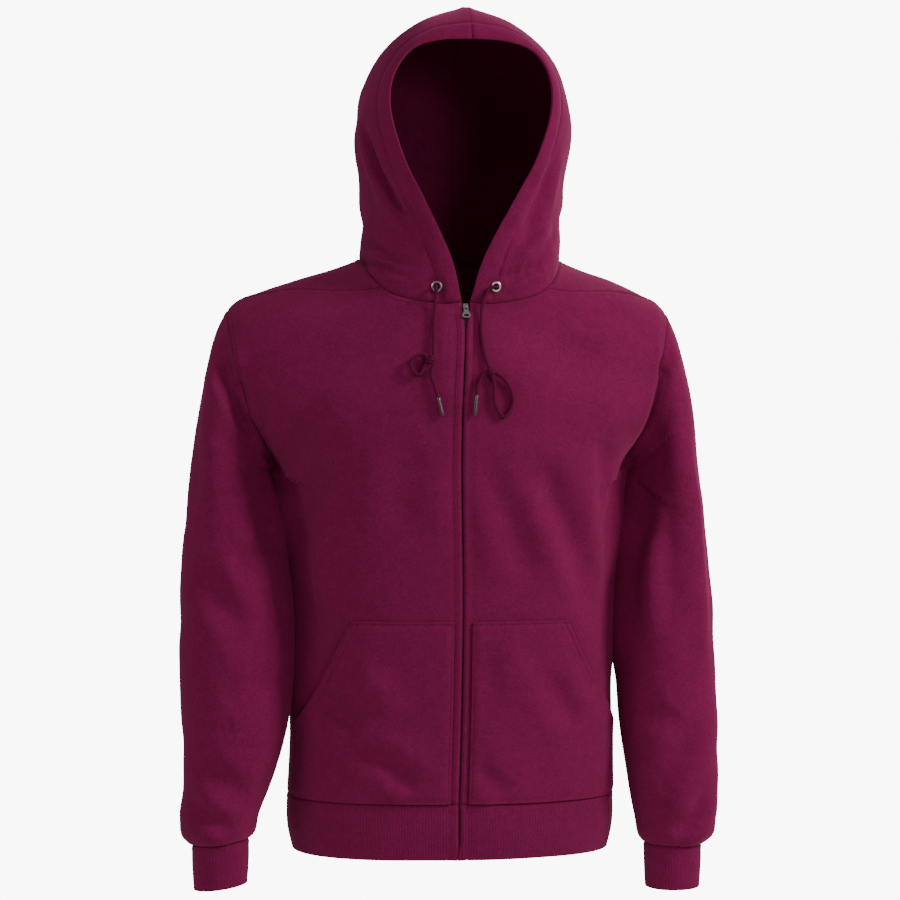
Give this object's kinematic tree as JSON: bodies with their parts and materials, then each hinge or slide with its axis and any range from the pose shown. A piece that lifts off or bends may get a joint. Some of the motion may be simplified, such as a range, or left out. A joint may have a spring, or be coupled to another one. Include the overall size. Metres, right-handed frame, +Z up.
{
  "type": "zip up hoodie, worn shape with no wearer",
  "caption": "Hooded sweatshirt with a full front zip, patch pockets, drawcord, ribbed waistband and cuffs, in the hollow shape it has when worn.",
  "frame": {"origin": "middle of the neck base, level with the shoulders' neck points, where the wearer's shoulders carry the garment", "axes": "+Z up the body, -Y out of the chest, +X to the wearer's left"},
  "size_m": [0.6381, 0.2733, 1.0419],
  "materials": {
    "fleece": "matte brushed-back fleece, smooth knit face",
    "rib": "matte 2 by 2 rib knit",
    "zip_tape": "matte woven tape",
    "zip_chain": "moulded coil, satin",
    "zip_metal": "polished nickel",
    "eyelet_metal": "polished nickel",
    "cord": "matte round braid",
    "aglet": "clear shrunk tip over the braid"
  },
  "bodies": {
    "garment": {"aglet_left": "aglet", "aglet_right": "aglet", "back": "fleece", "cord_left": "cord", "cord_right": "cord", "cuff_left": "rib", "cuff_right": "rib", "eyelet_left": "eyelet_metal", "eyelet_right": "eyelet_metal", "front_left": "fleece", "front_right": "fleece", "hood_left": "fleece", "hood_right": "fleece", "knot_left": "cord", "knot_right": "cord", "loop_left": "cord", "loop_right": "cord", "pocket_left": "fleece", "pocket_right": "fleece", "sleeve_left": "fleece", "sleeve_right": "fleece", "tail_left": "cord", "tail_right": "cord", "waistband": "rib", "zip_chain": "zip_chain", "zip_slider": "zip_metal", "zip_tape_left": "zip_tape", "zip_tape_right": "zip_tape"},
    "pull_tab": {"zip_pull": "zip_metal"}
  },
  "joints": [
    {"name": "pull_tab_hinge", "type": "hinge", "parent": "garment", "child": "pull_tab", "pos_m": [0.0116, -0.11306, -0.06], "axis": [-1, 0, 0], "range_deg": [0, 150]}
  ]
}
